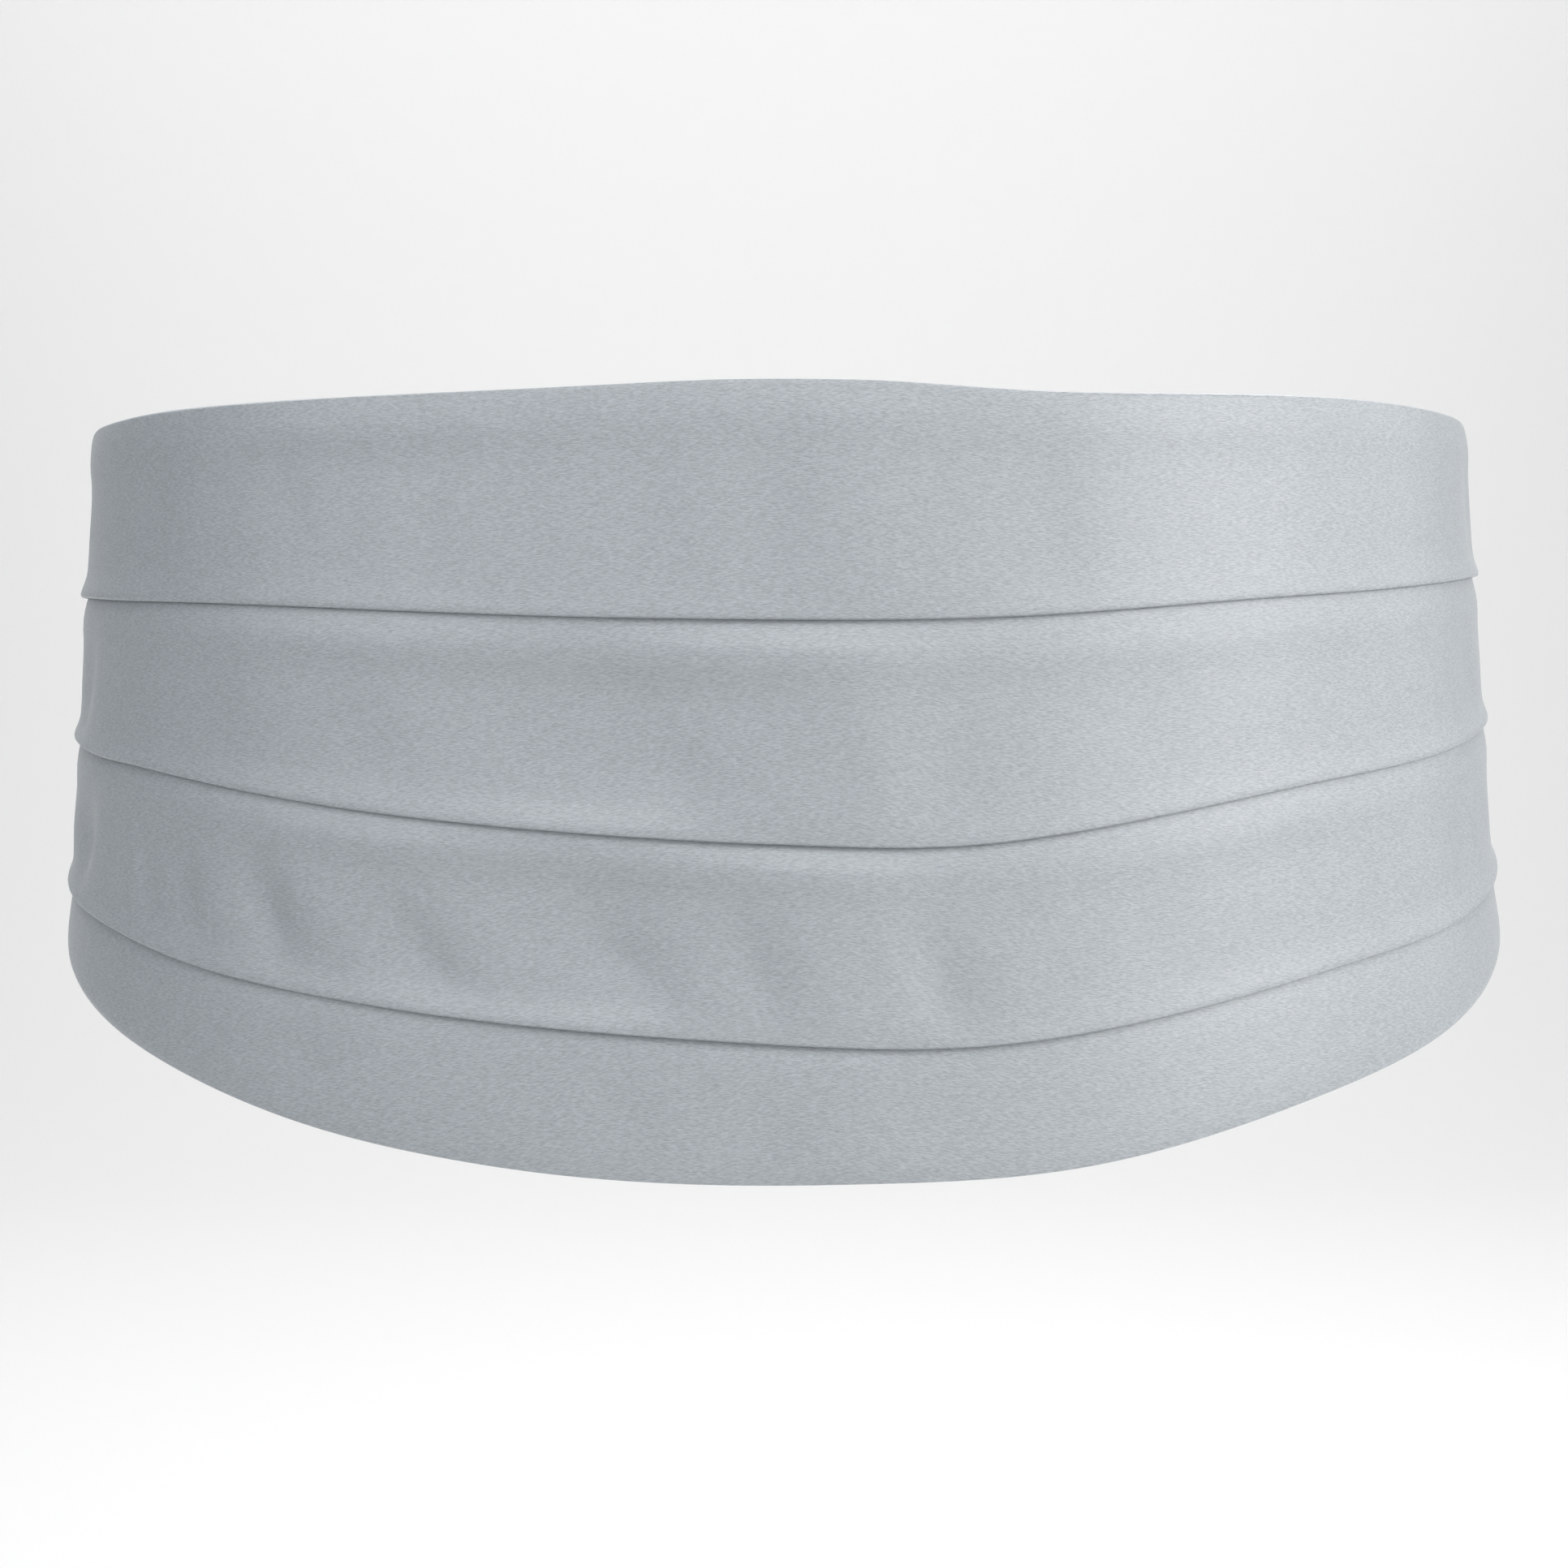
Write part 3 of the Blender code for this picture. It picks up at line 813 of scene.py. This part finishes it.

# %% [markdown]
# With its finish on, the panel is hung on the root body, and the solid piece that it stands for is hidden.

# %% Hand the panel to the frame
use_material(panel, SATIN)
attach(panel, "root")
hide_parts("pleated_panel")

# %% [markdown]
# ## Strips that stand on a path
#
# The bindings and the straps are strips of cloth. Seen from above, each follows a path of distances along
# the waist and out from the wearer, in millimetres, and it stands upright on that path. A strip is cut flat,
# as the panel was, and then carried along its path. Paths are drawn for the wearer's left side, and turned
# over for the right.

# %% Helpers for strips
SIDES = (("left", 1), ("right", -1))
STRIP_STEP = 0.6  # spacing of points along a path


def arc(centre, radius, start, end, count=9):
    """Points of an arc; angles are in degrees, 0 along the waist and 90 away from the wearer."""
    angles = np.radians(np.linspace(start, end, count))
    return [(centre[0] + radius * math.cos(a), centre[1] + radius * math.sin(a)) for a in angles]


def even_path(points, step):
    """The same path with points at even steps, and the distance along it of each."""
    points = np.array(points, float)
    travel = np.concatenate([[0], np.cumsum(np.hypot(*np.diff(points, axis=0).T))])
    even = np.linspace(0, travel[-1], int(travel[-1] / step) + 2)
    path = np.column_stack([np.interp(even, travel, points[:, k]) for k in (0, 1)])
    return path, even


def place_flat(around, out, height, side):
    """Flat points, given in millimetres for the left side, bent round either side of the waist."""
    along = around * MM if side > 0 else 2 * CENTRE_BACK - around * MM
    return bend_round_waist(np.column_stack([along, -out * MM, height * MM]))


def make_strip(name, side, points, half_height, rows, thickness, shape_out, step=STRIP_STEP):
    """A strip on a path; shape_out moves the cloth in or out by its place along and its height."""
    path, travel = even_path(points, step)
    strip, column, row = cut_sheet(name, len(path), rows)
    height = np.linspace(half_height, -half_height, rows)[row]
    around, out = path[column].T
    set_points(strip, place_flat(around, shape_out(around, out, height), height, side))
    lay_uv(strip, travel[column] * MM, height * MM)
    thicken(strip, thickness * MM)
    return strip, travel[-1] * MM


# %% [markdown]
# ## Bindings
#
# A folded strip covers each raw end of the panel. Both of its long edges are turned under, so the path runs
# in from one raw edge, turns back, crosses the outside, rounds the end and does the same inside. The strip
# presses on the pleats, so it rises a little over each fold lip, and its top and bottom are pinched.

# %% Measures of the bindings
BINDING_WIDTH = 12.0
BINDING_PAST_END = 0.7  # how far the strip reaches past the panel's end
BINDING_HALF_HEIGHT = 29.0
BINDING_TURNED_UNDER = 6.0
BINDING_CLOTH = 0.5
BINDING_OUTSIDE = (4.05, 3.45)  # the face and the edge turned under it
BINDING_INSIDE = (-0.25, 0.35)  # and the same two on the wearer's side
BINDING_CORNER = 1.2  # radius of its rounded end
BINDING_MIDDLE = 1.9  # how far out the middle between its two walls lies
BINDING_ROWS = 59
RAW_EDGE = PANEL_END / MM - BINDING_WIDTH + BINDING_TURNED_UNDER  # where the edges turned under stop
LIP_PLACES = (13.5, -0.5, -13.5)  # heights of the fold lips under the strip
LIP_RISE = 0.3  # how far the strip rises over each lip
LIP_SPREAD = 2.0  # height over which it does so
STRIP_PRESS = 0.25  # how far it is pressed in between the lips
OUTSIDE_FROM = 3.0  # distance out from which it rises in full
PINCH_FROM = 26.0  # height from which its two walls draw together
PINCH = 1.05  # how far each wall comes in at the top and bottom of the strip
PINCH_MORE = 0.6  # and how much further beyond the edges turned under
PINCH_MORE_FROM = 0.5  # where past those edges it begins
PINCH_MORE_OVER = 2.0  # and the distance over which it grows
WALL_FROM = 1.5  # distance from the middle at which a wall comes in by the whole pinch
print("bindings:", BINDING_WIDTH, "mm wide and", 2 * BINDING_HALF_HEIGHT, "mm tall")


# %% Make the bindings
def folded_edge(layers):
    """The edge of the strip where it turns back from one layer to the other."""
    radius = abs(layers[0] - layers[1]) / 2
    near = PANEL_END / MM - BINDING_WIDTH
    return arc((near + radius, sum(layers) / 2), radius, 270, 90)


def binding_path():
    face, under = BINDING_OUTSIDE
    inside_face, inside_under = BINDING_INSIDE
    corner = PANEL_END / MM + BINDING_PAST_END - BINDING_CORNER
    path = [(RAW_EDGE, under), *folded_edge(BINDING_OUTSIDE)]
    path += arc((corner, face - BINDING_CORNER), BINDING_CORNER, 90, 0)
    path += arc((corner, inside_face + BINDING_CORNER), BINDING_CORNER, 0, -90)
    path += [*folded_edge(BINDING_INSIDE), (RAW_EDGE, inside_under)]
    return path


def binding_shape(around, out, height):
    """The strip's outside rises over the lips, and both walls draw together at its top and bottom."""
    over_lips = sum(np.exp(-(((height - place) / LIP_SPREAD) ** 2)) for place in LIP_PLACES)
    outside = np.clip(out / OUTSIDE_FROM, 0, 1)
    pinch = np.clip((np.abs(height) - PINCH_FROM) / (BINDING_HALF_HEIGHT - PINCH_FROM), 0, 1)
    beyond = np.clip((around - RAW_EDGE - PINCH_MORE_FROM) / PINCH_MORE_OVER, 0, 1)
    wall = np.clip((out - BINDING_MIDDLE) / WALL_FROM, -1, 1)
    inward = (PINCH + PINCH_MORE * beyond) * pinch**2 * wall
    return out + outside * (LIP_RISE * over_lips - STRIP_PRESS) - inward


for name, side in SIDES:
    strip, path_length = make_strip(
        f"end_strip_{name}",
        side,
        binding_path(),
        BINDING_HALF_HEIGHT,
        BINDING_ROWS,
        BINDING_CLOTH,
        binding_shape,
    )
    use_material(strip, SATIN)
    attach(strip, "root")
    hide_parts(f"end_binding_{name}")
    print(strip.name, "cut", round(path_length / MM, 1), "mm wide,", triangles(strip), "triangles")

# %% [markdown]
# ## Straps
#
# Each strap leaves the end of its binding, lies along the wearer's back, goes round the bar of its metal
# piece and is sewn down on itself. The eye's bar is round wire and the hook's bar is the end of a slotted
# plate, so the two loops differ a little.

# %% Measures of the straps
BACK = CENTRE_BACK / MM
STRAP_THICK = 0.8
STRAP_HALF_WIDTH = 13.8
STRAP_OUT = 0.9  # how far out the strap lies on the wearer's back
LAP_OUT = STRAP_OUT + STRAP_THICK + 0.1  # the lap lies on the strap, a little off it
LAP_LENGTH = 20.0
METAL_OUT = 2.7
BAR_GAP = 0.1
EYE_BAR_AT = 18.0  # distances of the bars from the centre back
HOOK_BAR_AT = 13.25
EYE_WIRE_RADIUS = 1.0
HOOK_PLATE_HALF = 0.7  # half of the plate's thickness
HOOK_BAR_HALF_LENGTH = 1.75  # and of its bar's length along the waist
STRAP_FROM = PANEL_END / MM + 0.5  # it starts just inside the end of the binding
# the rest of its way: distances past its start, then before the bar, each with how far out it lies there
STRAP_COMES_IN = ((0, 1.8), (4, 1.75), (9, 1.5), (14, 1.15), (19, 0.95), (25, STRAP_OUT))
STRAP_NEARS_BAR = ((12, STRAP_OUT), (7, STRAP_OUT + 0.02))
LAP_COMES_IN = ((5, LAP_OUT + 1.1), (8, LAP_OUT + 0.25), (10, LAP_OUT), (LAP_LENGTH, LAP_OUT))
LOOP_CLOSES = (1.5, 0.15)  # how far before the bar and how far in the loop begins to close
LOOP_POINTS = 17
STRAP_ROWS = 24
STRAP_STEP = 0.5
STRAP_CUP = 0.15  # how far its edges lie in from its middle
WAVER = 0.08
WAVER_LENGTH = 5.0  # millimetres to the radian
WAVER_SLANT = 2.2  # radians that the waves lead by at its upper edge
print("straps:", 2 * STRAP_HALF_WIDTH, "mm wide, with a lap of", LAP_LENGTH, "mm")


# %% Make the straps
def strap_path(bar_at, bar_half_thickness, bar_half_length):
    bar = BACK - bar_at
    radius = bar_half_thickness + BAR_GAP + STRAP_THICK / 2
    path = [(STRAP_FROM + past, out) for past, out in STRAP_COMES_IN]
    path += [(bar - before, out) for before, out in STRAP_NEARS_BAR]
    path += arc((bar + bar_half_length, METAL_OUT), radius, -90, 90, LOOP_POINTS)
    path += [(bar - bar_half_length - LOOP_CLOSES[0], METAL_OUT + radius - LOOP_CLOSES[1])]
    path += [(bar - before, out) for before, out in LAP_COMES_IN]
    return path


def strap_shape(around, out, height):
    """The strap is a little cupped, and wavers along its length."""
    across = height / STRAP_HALF_WIDTH
    return out - STRAP_CUP * across**2 + WAVER * np.sin(around / WAVER_LENGTH + WAVER_SLANT * across)


STRAP_BARS = {
    "left": (EYE_BAR_AT, EYE_WIRE_RADIUS, 0.0),
    "right": (HOOK_BAR_AT, HOOK_PLATE_HALF, HOOK_BAR_HALF_LENGTH),
}
for name, side in SIDES:
    strap, path_length = make_strip(
        f"strap_band_{name}",
        side,
        strap_path(*STRAP_BARS[name]),
        STRAP_HALF_WIDTH,
        STRAP_ROWS,
        STRAP_THICK,
        strap_shape,
        step=STRAP_STEP,
    )
    use_material(strap, STRAP_CLOTH)
    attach(strap, "root")
    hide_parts(f"strap_{name}")
    print(strap.name, "cut", round(path_length / MM, 1), "mm long,", triangles(strap), "triangles")

# %% [markdown]
# ## Stitches
#
# One stitch is a small ball drawn out to the length of a stitch. An array repeats it along each line of
# sewing, and the line is then laid on the cloth: down both faces of each binding, and round the lap of each
# strap with two lines across it.

# %% Sew the bindings and the straps
STITCH_LENGTH = 2.3
STITCH_PITCH = 2.9
STITCH_THICK = 0.40

Run = namedtuple("Run", "start end out")  # start and end are (along the waist, height), in millimetres


def sew_run(run, side, shape_out):
    length = math.dist(run.start, run.end)
    count = max(1, round(length / STITCH_PITCH))
    deselect()
    bpy.ops.mesh.primitive_uv_sphere_add(segments=8, ring_count=6, radius=0.5)
    stitch = bpy.context.object
    set_points(stitch, get_points(stitch) * (STITCH_THICK, STITCH_THICK, STITCH_LENGTH))
    repeat = stitch.modifiers.new("stitches in a line", "ARRAY")
    repeat.use_relative_offset = False
    repeat.use_constant_offset = True
    repeat.constant_offset_displace = (0, 0, length / count)
    repeat.count = count
    apply_modifiers(stitch)
    thick, beside, along = get_points(stitch).T
    share = (along + length / count / 2) / length
    direction = np.subtract(run.end, run.start) / length
    around = run.start[0] + share * length * direction[0] - beside * direction[1]
    height = run.start[1] + share * length * direction[1] + beside * direction[0]
    out = shape_out(around, np.full_like(around, run.out), height) + thick
    set_points(stitch, place_flat(around, out, height, side))
    return stitch


def sew(name, side, runs, shape_out):
    lines = [sew_run(run, side, shape_out) for run in runs]
    deselect()
    for line in lines:
        line.select_set(True)
    bpy.context.view_layer.objects.active = lines[0]
    bpy.ops.object.join()
    stitches = bpy.context.object
    stitches.name = stitches.data.name = name
    bpy.ops.object.mode_set(mode="EDIT")
    bpy.ops.mesh.select_all(action="SELECT")
    bpy.ops.mesh.normals_make_consistent(inside=False)
    bpy.ops.object.mode_set(mode="OBJECT")
    stitches.data.shade_smooth()
    use_material(stitches, THREAD)
    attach(stitches, "root")
    return stitches


BINDING_SEAM = PANEL_END / MM - BINDING_WIDTH + 2.0  # a little in from the strip's folded edge
SEAM_END = BINDING_HALF_HEIGHT - 1.5
STITCH_LIFT = 0.08  # how far the middle of a stitch lies off the cloth
BINDING_FACES = (
    BINDING_OUTSIDE[0] + BINDING_CLOTH / 2 + STITCH_LIFT,
    BINDING_INSIDE[0] - BINDING_CLOTH / 2 - STITCH_LIFT,
)
STRAP_FACES = (LAP_OUT + STRAP_THICK / 2 + STITCH_LIFT, STRAP_OUT - STRAP_THICK / 2 - STITCH_LIFT)
BOX_FROM, BOX_TO = 19, 11  # distances of the sewn box from the bar
BOX_HALF_HEIGHT = 11


def box_with_cross(left, right, low, high, out):
    """Sewing round a box and from corner to corner."""
    corners = ((left, low), (right, low), (right, high), (left, high))
    sides = [Run(a, b, out) for a, b in zip(corners, corners[1:] + corners[:1])]
    return sides + [Run(corners[0], corners[2], out), Run(corners[1], corners[3], out)]


for name, side in SIDES:
    runs = [Run((BINDING_SEAM, -SEAM_END), (BINDING_SEAM, SEAM_END), out) for out in BINDING_FACES]
    sewn = sew(f"binding_stitches_{name}", side, runs, binding_shape)
    bar = BACK - STRAP_BARS[name][0]
    runs = []
    for out in STRAP_FACES:
        runs += box_with_cross(bar - BOX_FROM, bar - BOX_TO, -BOX_HALF_HEIGHT, BOX_HALF_HEIGHT, out)
    sewn_strap = sew(f"strap_stitches_{name}", side, runs, strap_shape)
    print(sewn.name, triangles(sewn), "triangles;", sewn_strap.name, triangles(sewn_strap))

# %% [markdown]
# ## The hook and the eye
#
# The solid model's metal pieces are right in form but have sharp edges and few sides. Each is copied, its
# loose triangles are merged, and a modifier finishes it: a small bevel on the plate, and one round of
# smoothing on the wire.

# %% Finish the metal
MERGE_WITHIN = 0.01 * MM
PLATE_BEVEL = 0.2 * MM
BEVEL_OVER = math.radians(50)
SMOOTH_UNDER = math.radians(40)


def finer_copy(node, name):
    piece = bpy.data.objects.new(name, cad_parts[node].data.copy())
    scene.collection.objects.link(piece)
    select_only(piece)
    bpy.ops.object.mode_set(mode="EDIT")
    bpy.ops.mesh.select_all(action="SELECT")
    bpy.ops.mesh.remove_doubles(threshold=MERGE_WITHIN)
    bpy.ops.mesh.tris_convert_to_quads()
    bpy.ops.object.mode_set(mode="OBJECT")
    return piece


hook = finer_copy("closure_hook", "hook_plate")
bevel = hook.modifiers.new("soft edges", "BEVEL")
bevel.width = PLATE_BEVEL
bevel.segments = 2
bevel.limit_method = "ANGLE"
bevel.angle_limit = BEVEL_OVER
apply_modifiers(hook)
bpy.ops.object.shade_smooth_by_angle(angle=SMOOTH_UNDER)

eye = finer_copy("closure_eye", "eye_ring")
smooth = eye.modifiers.new("round wire", "SUBSURF")
smooth.levels = smooth.render_levels = 1
apply_modifiers(eye)
eye.data.shade_smooth()

for piece, node in ((hook, "closure_hook"), (eye, "closure_eye")):
    use_material(piece, NICKEL)
    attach(piece, "root")
    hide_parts(node)
    print(piece.name, triangles(piece), "triangles")

# %% [markdown]
# ## The stage
#
# The sash hangs in its worn place, so the stage is a plain pale sheet far below, which curves up behind.
# Soft lights stand in for the room of the photograph: two broad windows on the right, a weaker and cooler
# fill on the left, a high light from the ceiling for the strips of cloth that face up, and a bounce from
# below that reaches in under the lips. Two small ones show the back, which the photograph doesn't. Each is
# placed by its turn from the centre front, its lift above the waist and its distance. Two more light the
# backdrop.

# %% Floor and backdrop
FLOOR_DEPTH = -0.45
FLOOR_FRONT = -3.0
FLOOR_HALF_WIDTH = 5.0
WALL_AT = 2.6
WALL_TOP = 3.0
CURVE = 1.0
CURVE_POINTS = 17
FLOOR_COLOUR = (0.90, 0.90, 0.90, 1)
FLOOR_ROUGHNESS = 0.9
FLOOR_GLOSS = 0.1


def backdrop_profile():
    """Distance back and height, from the front of the floor up to the top of the wall."""
    angles = np.radians(np.linspace(0, 90, CURVE_POINTS))
    curve = [(WALL_AT - CURVE + CURVE * math.sin(a), FLOOR_DEPTH + CURVE * (1 - math.cos(a))) for a in angles]
    return np.array([(FLOOR_FRONT, FLOOR_DEPTH), *curve, (WALL_AT, WALL_TOP)])


profile = backdrop_profile()
floor, floor_column, floor_row = cut_sheet("floor", 2, len(profile))
side_to_side = np.array([-FLOOR_HALF_WIDTH, FLOOR_HALF_WIDTH])[floor_column]
set_points(floor, np.column_stack([side_to_side, profile[floor_row]]))
floor.data.shade_smooth()
floor_paint = bpy.data.materials.new("pale floor")
floor_paint.use_nodes = True
floor_shader = floor_paint.node_tree.nodes["Principled BSDF"]
floor_shader.inputs["Base Color"].default_value = FLOOR_COLOUR
floor_shader.inputs["Roughness"].default_value = FLOOR_ROUGHNESS
floor_shader.inputs["Specular IOR Level"].default_value = FLOOR_GLOSS
use_material(floor, floor_paint)
print("backdrop:", 2 * FLOOR_HALF_WIDTH, "m wide,", triangles(floor), "triangles")

# %% Lights
ROOM_COLOUR = (0.97, 0.985, 1.0, 1)
ROOM_STRENGTH = 0.11

world = bpy.data.worlds.new("studio")
world.use_nodes = True
room = world.node_tree.nodes["Background"]
room.inputs["Color"].default_value = ROOM_COLOUR
room.inputs["Strength"].default_value = ROOM_STRENGTH
scene.world = world

Light = namedtuple("Light", "name turn lift distance width height power colour")
LIGHTS = (
    Light("window", 50, 15, 1.2, 0.70, 0.90, 8.8, (1.0, 0.99, 0.98)),
    Light("side window", 86, 20, 1.2, 1.00, 1.00, 4.6, (1.0, 0.99, 0.98)),
    Light("ceiling", 2, 54, 1.2, 1.10, 0.60, 6, (1.0, 1.0, 1.0)),
    Light("fill", -50, 24, 1.2, 0.90, 0.80, 4.6, (0.94, 0.97, 1.0)),
    Light("bounce", -4, -40, 1.2, 1.30, 0.70, 7.5, (1.0, 1.0, 1.0)),
    Light("back window", 150, 46, 1.2, 0.50, 0.50, 3.6, (1.0, 0.99, 0.98)),
    Light("back fill", -138, 42, 1.2, 0.50, 0.50, 1.5, (0.94, 0.97, 1.0)),
)
BACKDROP_PLACE = (0.9, 0.9, 1.6)  # of the one on the wearer's left; the other is its mirror image
BACKDROP_AIM = (0.4, 2.3, 0.1)
BACKDROP_SIZE = (1.2, 0.6)
BACKDROP_POWER = 18
BACKDROP_COLOUR = (1.0, 1.0, 1.0)


def soft_light(name, place, target, size, power, colour):
    data = bpy.data.lights.new(name, "AREA")
    data.shape = "RECTANGLE"
    data.size, data.size_y = size
    data.energy = power
    data.color = colour
    lamp = bpy.data.objects.new(name, data)
    scene.collection.objects.link(lamp)
    lamp.location = place
    lamp.rotation_euler = (Vector(target) - Vector(place)).to_track_quat("-Z", "Y").to_euler()


for light in LIGHTS:
    turn, lift = math.radians(light.turn), math.radians(light.lift)
    level = light.distance * math.cos(lift)
    place = (level * math.sin(turn), -level * math.cos(turn), light.distance * math.sin(lift))
    soft_light(light.name, place, (0, 0, 0), (light.width, light.height), light.power, light.colour)
for side in (-1, 1):
    place, target = (np.multiply(point, (side, 1, 1)) for point in (BACKDROP_PLACE, BACKDROP_AIM))
    soft_light("backdrop light", place, target, BACKDROP_SIZE, BACKDROP_POWER, BACKDROP_COLOUR)
print("lights:", ", ".join(light.name for light in LIGHTS), "and two on the backdrop")
